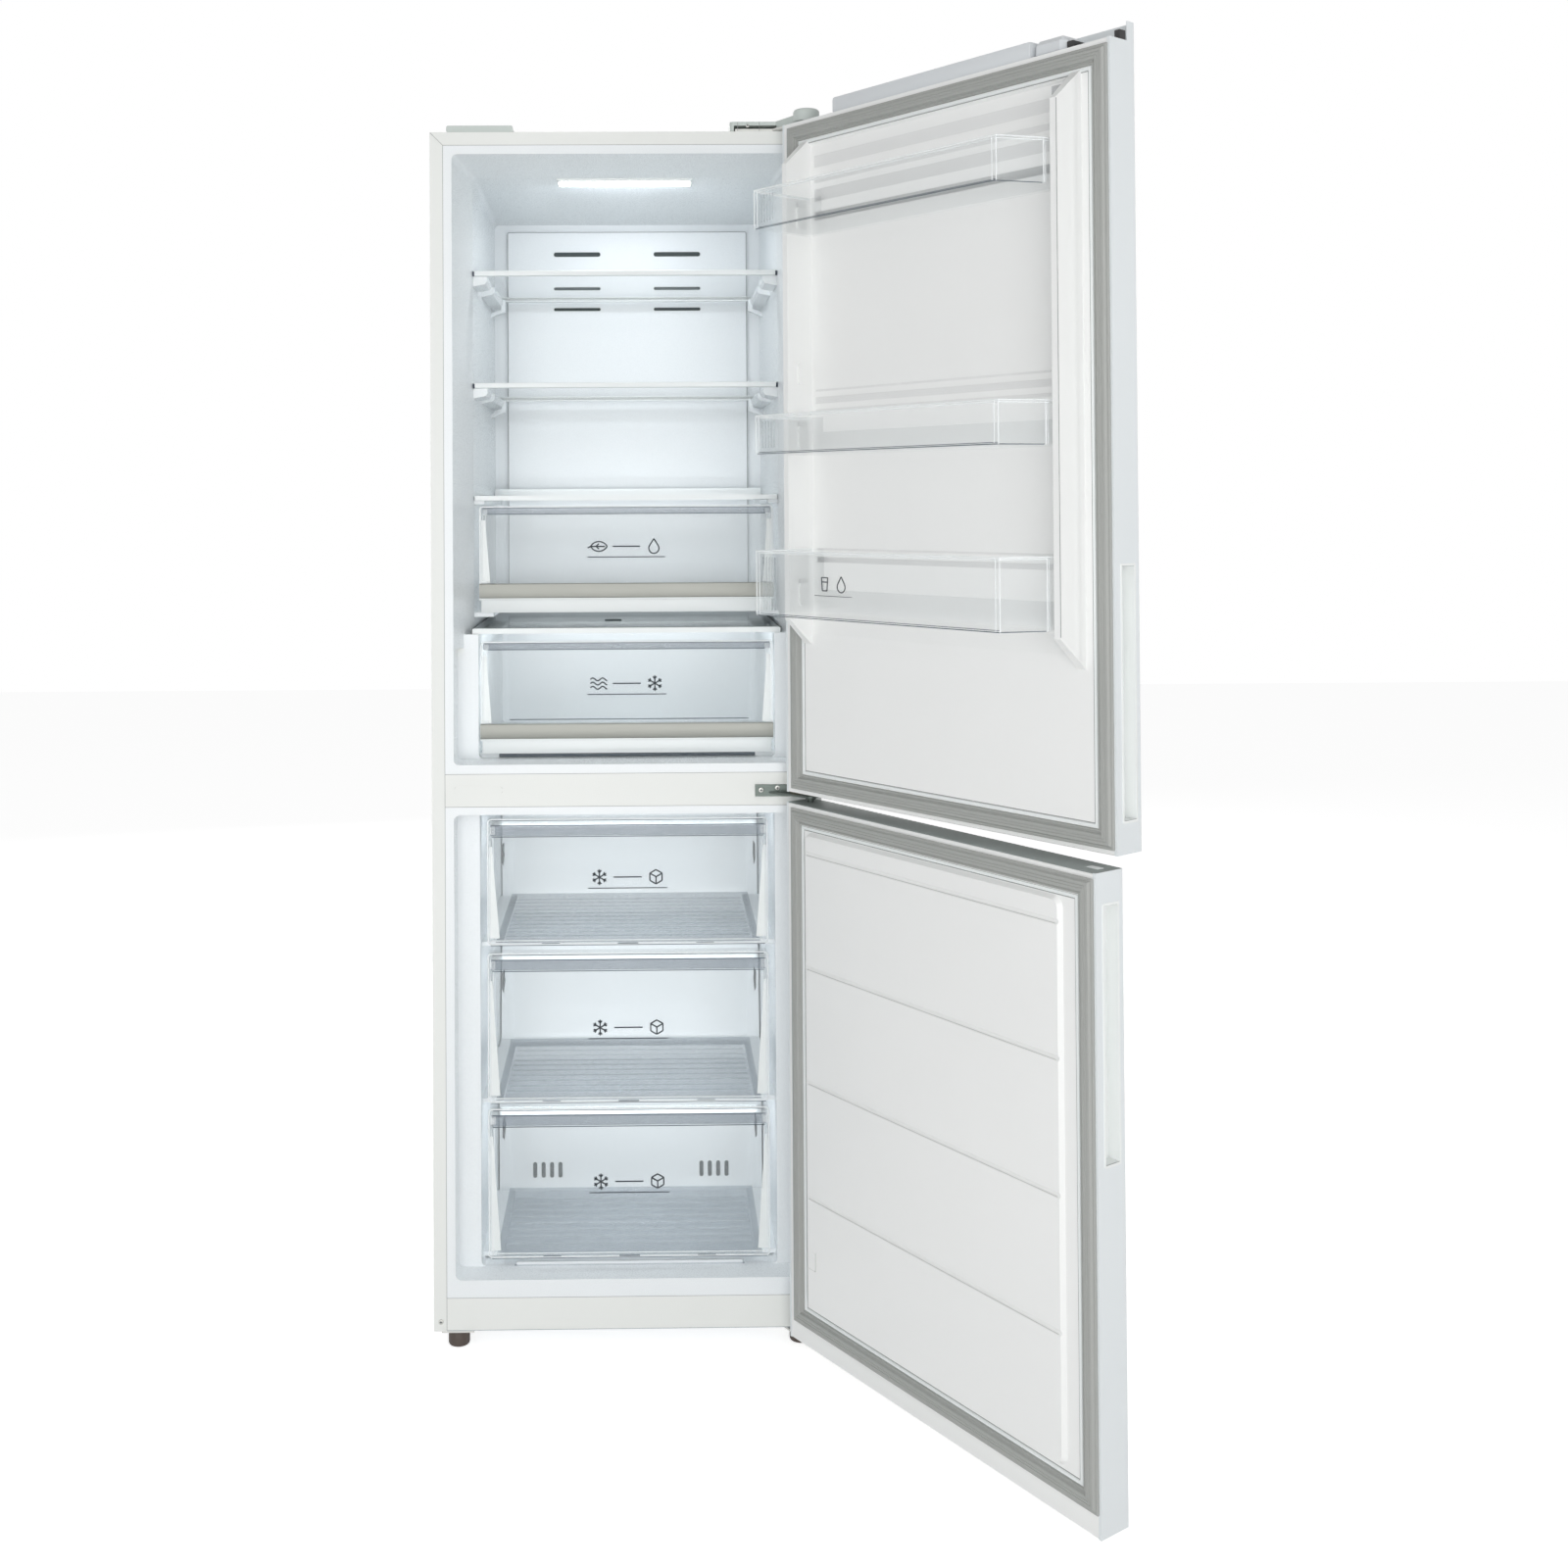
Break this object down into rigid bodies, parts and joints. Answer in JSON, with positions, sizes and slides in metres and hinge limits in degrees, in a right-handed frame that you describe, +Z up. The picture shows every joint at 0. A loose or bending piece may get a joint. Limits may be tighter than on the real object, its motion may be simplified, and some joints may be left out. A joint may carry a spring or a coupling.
{
  "type": "bottom freezer refrigerator",
  "caption": "Free-standing two-door refrigerator with a fridge compartment over a drawer freezer, both doors swung open on the right.",
  "frame": {"origin": "on the floor, midway between the cabinet's sides, under the cabinet's front face", "axes": "+X to the right as seen from the front, +Y from the front towards the back, +Z up"},
  "size_m": [0.9402, 1.103, 1.88],
  "materials": {
    "cabinet_paint": "satin, fine texture",
    "door_paint": "satin",
    "galvanised": "satin",
    "liner_white": "smooth",
    "door_liner_white": "smooth",
    "white_trim": "smooth",
    "clear_plastic": "clear",
    "shelf_glass": "clear",
    "grey_trim": "matte",
    "gasket_grey": "matte",
    "brushed_strip": "brushed",
    "foam": "matte",
    "dark_plastic": "matte",
    "hinge_steel": "satin",
    "zinc_steel": "satin",
    "compressor_black": "satin",
    "copper_tube": "satin",
    "aluminium_fins": "bare",
    "light_cover": "translucent",
    "foot_plastic": "matte"
  },
  "bodies": {
    "cabinet": {"cabinet_shell": "cabinet_paint", "rear_panel": "galvanised", "bottom_plate": "galvanised", "compressor_tray": "galvanised", "compressor_cover": "galvanised", "bottom_rail": "cabinet_paint", "middle_rail": "cabinet_paint", "fridge_liner": "liner_white", "freezer_liner": "liner_white", "cabinet_foam": "foam", "air_duct_panel": "liner_white", "light_diffuser": "light_cover", "evaporator_cover": "liner_white", "evaporator": "aluminium_fins", "defrost_heater": "zinc_steel", "fan_motor": "dark_plastic", "compressor": "compressor_black", "compressor_grommets": "gasket_grey", "condenser_coil": "copper_tube", "refrigerant_pipes": "copper_tube", "drip_tray": "dark_plastic", "control_box": "grey_trim", "top_hinge": "hinge_steel", "hinge_covers": "white_trim", "middle_hinge": "hinge_steel", "bottom_hinge": "zinc_steel", "cabinet_screws": "zinc_steel", "roller_axles": "zinc_steel", "shelf_glass": "shelf_glass", "shelf_trims": "white_trim"},
    "upper_door": {"upper_door_panel": "door_paint", "upper_door_liner": "door_liner_white", "upper_door_foam": "foam", "upper_door_top_cap": "grey_trim", "upper_door_bottom_cap": "grey_trim", "upper_door_gasket": "gasket_grey", "upper_door_grip": "white_trim"},
    "lower_door": {"lower_door_panel": "door_paint", "lower_door_liner": "door_liner_white", "lower_door_foam": "foam", "lower_door_top_cap": "grey_trim", "lower_door_bottom_cap": "grey_trim", "lower_door_gasket": "gasket_grey", "lower_door_grip": "white_trim"},
    "top_bin": {"door_bin_top": "clear_plastic"},
    "middle_bin": {"door_bin_middle": "clear_plastic"},
    "bottle_bin": {"door_bin_bottle": "clear_plastic"},
    "crisper": {"crisper_drawer": "clear_plastic", "crisper_handle": "brushed_strip"},
    "chiller": {"chiller_drawer": "clear_plastic", "chiller_handle": "brushed_strip"},
    "freezer_top": {"freezer_drawer_top": "clear_plastic"},
    "freezer_middle": {"freezer_drawer_middle": "clear_plastic"},
    "freezer_bottom": {"freezer_drawer_bottom": "clear_plastic"},
    "slider": {"airflow_slider": "dark_plastic"},
    "fan": {"fan_impeller": "grey_trim"},
    "foot_left": {"front_foot_left": "foot_plastic"},
    "foot_right": {"front_foot_right": "foot_plastic"},
    "roller_left": {"rear_roller_left": "foot_plastic"},
    "roller_right": {"rear_roller_right": "foot_plastic"}
  },
  "joints": [
    {"name": "upper_door_hinge", "type": "hinge", "parent": "cabinet", "child": "upper_door", "pos_m": [0.2775, -0.0373, 1.35], "axis": [0, 0, 1], "range_deg": [-127.5, 7.5]},
    {"name": "lower_door_hinge", "type": "hinge", "parent": "cabinet", "child": "lower_door", "pos_m": [0.2775, -0.0373, 0.43], "axis": [0, 0, 1], "range_deg": [-123.6, 11.4]},
    {"name": "crisper_slide", "type": "slide", "parent": "cabinet", "child": "crisper", "axis": [0, -1, 0], "range_m": [0, 0.2]},
    {"name": "chiller_slide", "type": "slide", "parent": "cabinet", "child": "chiller", "axis": [0, -1, 0], "range_m": [0, 0.24]},
    {"name": "freezer_top_slide", "type": "slide", "parent": "cabinet", "child": "freezer_top", "axis": [0, -1, 0], "range_m": [0, 0.28]},
    {"name": "freezer_middle_slide", "type": "slide", "parent": "cabinet", "child": "freezer_middle", "axis": [0, -1, 0], "range_m": [0, 0.28]},
    {"name": "freezer_bottom_slide", "type": "slide", "parent": "cabinet", "child": "freezer_bottom", "axis": [0, -1, 0], "range_m": [0, 0.22]},
    {"name": "top_bin_lift", "type": "slide", "parent": "upper_door", "child": "top_bin", "axis": [0, 0, 1], "range_m": [0, 0.025]},
    {"name": "middle_bin_lift", "type": "slide", "parent": "upper_door", "child": "middle_bin", "axis": [0, 0, 1], "range_m": [0, 0.025]},
    {"name": "bottle_bin_lift", "type": "slide", "parent": "upper_door", "child": "bottle_bin", "axis": [0, 0, 1], "range_m": [0, 0.025]},
    {"name": "airflow_slide", "type": "slide", "parent": "cabinet", "child": "slider", "axis": [1, 0, 0], "range_m": [0, 0.048]},
    {"name": "fan_spin", "type": "hinge", "parent": "cabinet", "child": "fan", "pos_m": [0, 0.43, 0.706], "axis": [0, 1, 0], "continuous": true},
    {"name": "foot_left_turn", "type": "hinge", "parent": "cabinet", "child": "foot_left", "pos_m": [-0.2614, 0.024, 0.02], "axis": [0, 0, 1], "continuous": true},
    {"name": "foot_right_turn", "type": "hinge", "parent": "cabinet", "child": "foot_right", "pos_m": [0.2614, 0.024, 0.02], "axis": [0, 0, 1], "continuous": true},
    {"name": "roller_left_spin", "type": "hinge", "parent": "cabinet", "child": "roller_left", "pos_m": [-0.25, 0.53, 0.017], "axis": [1, 0, 0], "continuous": true},
    {"name": "roller_right_spin", "type": "hinge", "parent": "cabinet", "child": "roller_right", "pos_m": [0.25, 0.53, 0.017], "axis": [1, 0, 0], "continuous": true}
  ]
}
